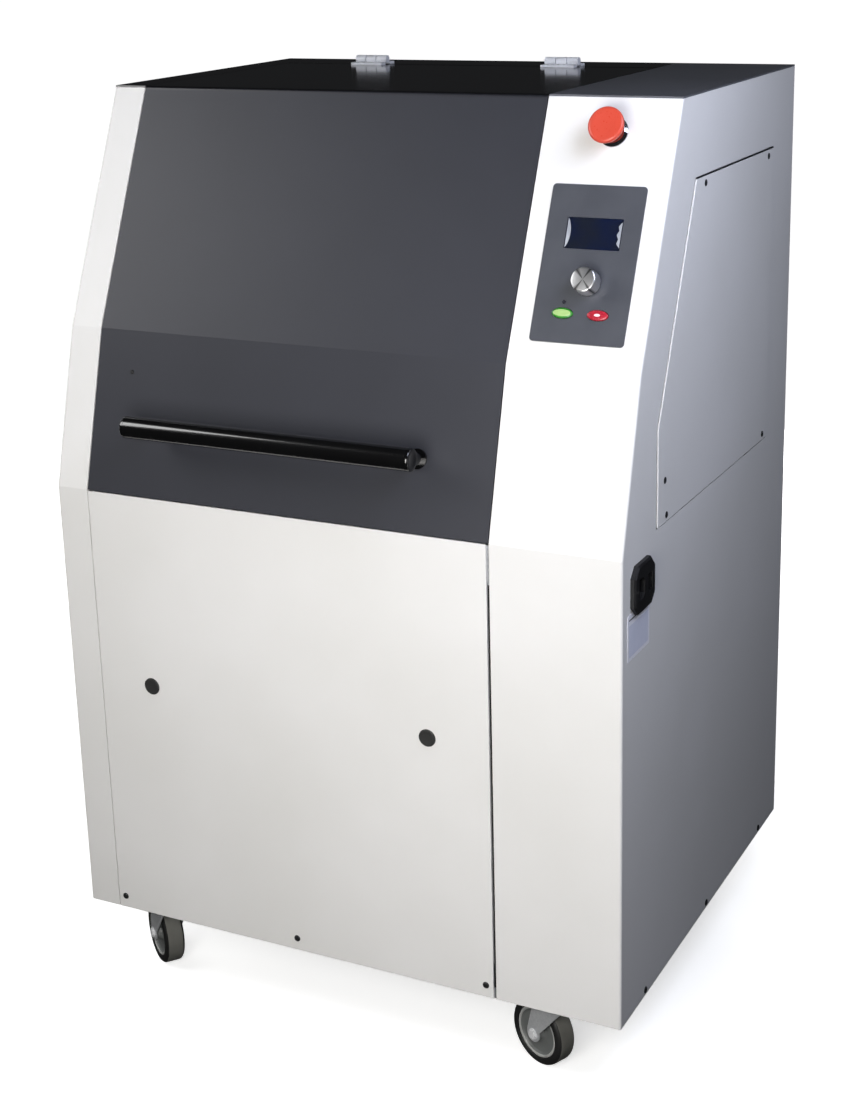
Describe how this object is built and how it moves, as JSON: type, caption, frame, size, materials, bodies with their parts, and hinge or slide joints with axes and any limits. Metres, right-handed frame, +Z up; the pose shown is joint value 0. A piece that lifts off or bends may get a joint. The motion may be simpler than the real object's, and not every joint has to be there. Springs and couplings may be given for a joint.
{
  "type": "vibratory disc mill",
  "caption": "Floor-standing laboratory vibratory disc mill: bent-sheet cabinet on castors with a hinged lid, control column, clamped grinding set and sprung drive",
  "frame": {"origin": "on the floor, under the centre of the whole part's box", "axes": "+X to the machine's right side with the control column, +Y to the rear, +Z up"},
  "size_m": [0.7074, 0.6047, 1.0893],
  "materials": {
    "white_sheet": "satin",
    "graphite_sheet": "gloss",
    "zinc_steel": "zinc plated",
    "stainless": "brushed",
    "tool_steel": "ground",
    "motor_paint": "enamel",
    "platform_paint": "hammer finish",
    "black_plastic": "moulded",
    "black_gloss": "gloss powder coat",
    "fascia_plate": "anodised",
    "display_glass": "tinted",
    "light_lens": "clear",
    "chrome_metal": "polished",
    "green_plastic": "moulded",
    "red_plastic": "moulded",
    "castor_tyre": "rubber",
    "buffer_rubber": "moulded",
    "foam": "acoustic foam"
  },
  "bodies": {
    "cabinet": {"left_housing": "white_sheet", "right_housing": "white_sheet", "rear_hinge_rail": "zinc_steel", "top_cover": "graphite_sheet", "right_top_cover": "graphite_sheet", "rear_panel": "white_sheet", "front_panel": "white_sheet", "hole_plugs": "black_plastic", "side_access_panel": "white_sheet", "panel_screws": "black_plastic", "base_tray": "zinc_steel", "front_cross_rail": "zinc_steel", "chamber_liner": "stainless", "carrier_frame": "platform_paint", "control_fascia": "fascia_plate", "display_module": "display_glass", "status_light": "light_lens", "estop_collar": "chrome_metal", "mains_unit": "black_plastic", "frequency_inverter": "black_plastic", "lid_interlock": "black_plastic", "hinge_bases": "chrome_metal", "castor_plates": "zinc_steel"},
    "lid": {"lid_shell": "graphite_sheet", "lid_insulation": "foam", "handle_bar": "black_gloss", "handle_posts": "black_gloss", "hinge_leaves": "chrome_metal"},
    "gas_cylinders": {"gas_spring_cylinders": "black_gloss"},
    "gas_rods": {"gas_spring_rods": "chrome_metal"},
    "buffers": {"rubber_buffers": "buffer_rubber"},
    "platform": {"vibrating_platform": "platform_paint", "motor_housing": "motor_paint", "motor_bearings": "tool_steel"},
    "rotor": {"motor_shaft": "tool_steel", "eccentric_weight": "tool_steel"},
    "bowl": {"grinding_bowl": "tool_steel"},
    "ring": {"grinding_ring": "tool_steel"},
    "puck": {"grinding_puck": "tool_steel"},
    "bowl_cover": {"bowl_lid": "tool_steel"},
    "yoke": {"clamp_yoke": "platform_paint"},
    "spindle": {"clamp_spindle": "zinc_steel"},
    "clamp_handle": {"clamp_knob": "black_plastic"},
    "encoder": {"encoder_shaft": "zinc_steel"},
    "dial": {"encoder_knob": "chrome_metal"},
    "start": {"start_button": "green_plastic"},
    "stop": {"stop_button": "red_plastic"},
    "estop": {"estop_stem": "black_plastic"},
    "estop_cap": {"estop_head": "red_plastic"},
    "rocker": {"power_rocker": "black_plastic"},
    "fork_front_left": {"castor_fork_front_left": "zinc_steel"},
    "wheel_front_left": {"castor_wheel_front_left": "castor_tyre"},
    "brake_front_left": {"castor_brake_front_left": "black_plastic"},
    "fork_front_right": {"castor_fork_front_right": "zinc_steel"},
    "wheel_front_right": {"castor_wheel_front_right": "castor_tyre"},
    "brake_front_right": {"castor_brake_front_right": "black_plastic"},
    "fork_rear_left": {"castor_fork_rear_left": "zinc_steel"},
    "wheel_rear_left": {"castor_wheel_rear_left": "castor_tyre"},
    "fork_rear_right": {"castor_fork_rear_right": "zinc_steel"},
    "wheel_rear_right": {"castor_wheel_rear_right": "castor_tyre"}
  },
  "joints": [
    {"name": "lid_hinge", "type": "hinge", "parent": "cabinet", "child": "lid", "pos_m": [-0.00225, 0.23235, 1.084], "axis": [-1, 0, 0], "range_deg": [0, 75]},
    {"name": "gas_cylinder_pivot", "type": "hinge", "parent": "cabinet", "child": "gas_cylinders", "pos_m": [-0.00225, 0.17035, 0.736], "axis": [-1, 0, 0], "range_deg": [0, 4]},
    {"name": "gas_rod_slide", "type": "slide", "parent": "gas_cylinders", "child": "gas_rods", "axis": [0, 0.0123, 0.9999], "range_m": [0, 0.08]},
    {"name": "platform_sway_y", "type": "slide", "parent": "cabinet", "child": "buffers", "axis": [0, 1, 0], "range_m": [-0.003, 0.003], "stiffness_N_per_m": 120000},
    {"name": "platform_sway_x", "type": "slide", "parent": "buffers", "child": "platform", "axis": [1, 0, 0], "range_m": [-0.003, 0.003], "stiffness_N_per_m": 120000},
    {"name": "shaft_spin", "type": "hinge", "parent": "platform", "child": "rotor", "pos_m": [-0.055, -0.00765, 0.49], "axis": [0, 0, 1], "continuous": true},
    {"name": "bowl_lift", "type": "slide", "parent": "platform", "child": "bowl", "axis": [0, 0, 1], "range_m": [0, 0.1]},
    {"name": "bowl_lid_lift", "type": "slide", "parent": "bowl", "child": "bowl_cover", "axis": [0, 0, 1], "range_m": [0, 0.06]},
    {"name": "ring_slide", "type": "slide", "parent": "bowl", "child": "ring", "axis": [1, 0, 0], "range_m": [-0.008, 0.008]},
    {"name": "puck_slide", "type": "slide", "parent": "ring", "child": "puck", "axis": [1, 0, 0], "range_m": [-0.008, 0.008]},
    {"name": "clamp_swing", "type": "hinge", "parent": "platform", "child": "yoke", "pos_m": [-0.055, 0.12035, 0.7041], "axis": [-1, 0, 0], "range_deg": [-95, 0]},
    {"name": "clamp_screw", "type": "slide", "parent": "yoke", "child": "spindle", "axis": [0, -0.9962, 0.0872], "range_m": [0, 0.008]},
    {"name": "clamp_knob_turn", "type": "hinge", "parent": "spindle", "child": "clamp_handle", "pos_m": [-0.055, 0.13151, 0.83161], "axis": [0, -0.9962, 0.0872], "range_deg": [0, 721]},
    {"name": "dial_turn", "type": "hinge", "parent": "cabinet", "child": "encoder", "pos_m": [0.27775, -0.18042, 0.89694], "axis": [0, -0.9104, 0.4137], "continuous": true},
    {"name": "dial_push", "type": "slide", "parent": "encoder", "child": "dial", "axis": [0, 0.9104, -0.4137], "range_m": [0, 0.0015], "stiffness_N_per_m": 500, "springref_m": -0.003},
    {"name": "start_push", "type": "slide", "parent": "cabinet", "child": "start", "axis": [0, 0.9104, -0.4137], "range_m": [0, 0.001], "stiffness_N_per_m": 400, "springref_m": -0.003},
    {"name": "stop_push", "type": "slide", "parent": "cabinet", "child": "stop", "axis": [0, 0.9104, -0.4137], "range_m": [0, 0.001], "stiffness_N_per_m": 400, "springref_m": -0.003},
    {"name": "estop_push", "type": "slide", "parent": "cabinet", "child": "estop", "axis": [0, 0.9104, -0.4137], "range_m": [0, 0.005], "stiffness_N_per_m": 600, "springref_m": -0.004},
    {"name": "estop_twist", "type": "hinge", "parent": "estop", "child": "estop_cap", "pos_m": [0.27875, -0.13993, 1.05373], "axis": [0, -0.9104, 0.4137], "range_deg": [0, 30], "stiffness_Nm_per_rad": 0.2, "springref_deg": -5.73},
    {"name": "power_switch", "type": "hinge", "parent": "cabinet", "child": "rocker", "pos_m": [0.34775, -0.20115, 0.5925], "axis": [0, 1, 0], "range_deg": [-8, 8]},
    {"name": "swivel_front_left", "type": "hinge", "parent": "cabinet", "child": "fork_front_left", "pos_m": [-0.26395, -0.22665, 0.098], "axis": [0, 0, 1], "continuous": true},
    {"name": "wheel_spin_front_left", "type": "hinge", "parent": "fork_front_left", "child": "wheel_front_left", "pos_m": [-0.28523, -0.21002, 0.04], "axis": [-0.6157, -0.788, 0], "continuous": true},
    {"name": "brake_front_left", "type": "hinge", "parent": "fork_front_left", "child": "brake_front_left", "pos_m": [-0.27813, -0.21557, 0.0854], "axis": [-0.6157, -0.788, 0], "range_deg": [0, 8]},
    {"name": "swivel_front_right", "type": "hinge", "parent": "cabinet", "child": "fork_front_right", "pos_m": [0.25945, -0.22665, 0.098], "axis": [0, 0, 1], "continuous": true},
    {"name": "wheel_spin_front_right", "type": "hinge", "parent": "fork_front_right", "child": "wheel_front_right", "pos_m": [0.23471, -0.21584, 0.04], "axis": [-0.4003, -0.9164, 0], "continuous": true},
    {"name": "brake_front_right", "type": "hinge", "parent": "fork_front_right", "child": "brake_front_right", "pos_m": [0.24296, -0.21944, 0.0854], "axis": [-0.4003, -0.9164, 0], "range_deg": [0, 8]},
    {"name": "swivel_rear_left", "type": "hinge", "parent": "cabinet", "child": "fork_rear_left", "pos_m": [-0.26395, 0.26135, 0.098], "axis": [0, 0, 1], "continuous": true},
    {"name": "wheel_spin_rear_left", "type": "hinge", "parent": "fork_rear_left", "child": "wheel_rear_left", "pos_m": [-0.25045, 0.23797, 0.04], "axis": [0.866, 0.5, 0], "continuous": true},
    {"name": "swivel_rear_right", "type": "hinge", "parent": "cabinet", "child": "fork_rear_right", "pos_m": [0.25945, 0.26135, 0.098], "axis": [0, 0, 1], "continuous": true},
    {"name": "wheel_spin_rear_right", "type": "hinge", "parent": "fork_rear_right", "child": "wheel_rear_right", "pos_m": [0.25022, 0.23598, 0.04], "axis": [0.9397, -0.342, 0], "continuous": true}
  ],
  "couplings": [
    {"joint": "gas_cylinder_pivot", "follows": "lid_hinge", "ratio": 0.036231},
    {"joint": "gas_rod_slide", "follows": "lid_hinge", "m_per_rad": 0.056913},
    {"joint": "clamp_knob_turn", "follows": "clamp_screw", "rad_per_m": 1570.8}
  ]
}
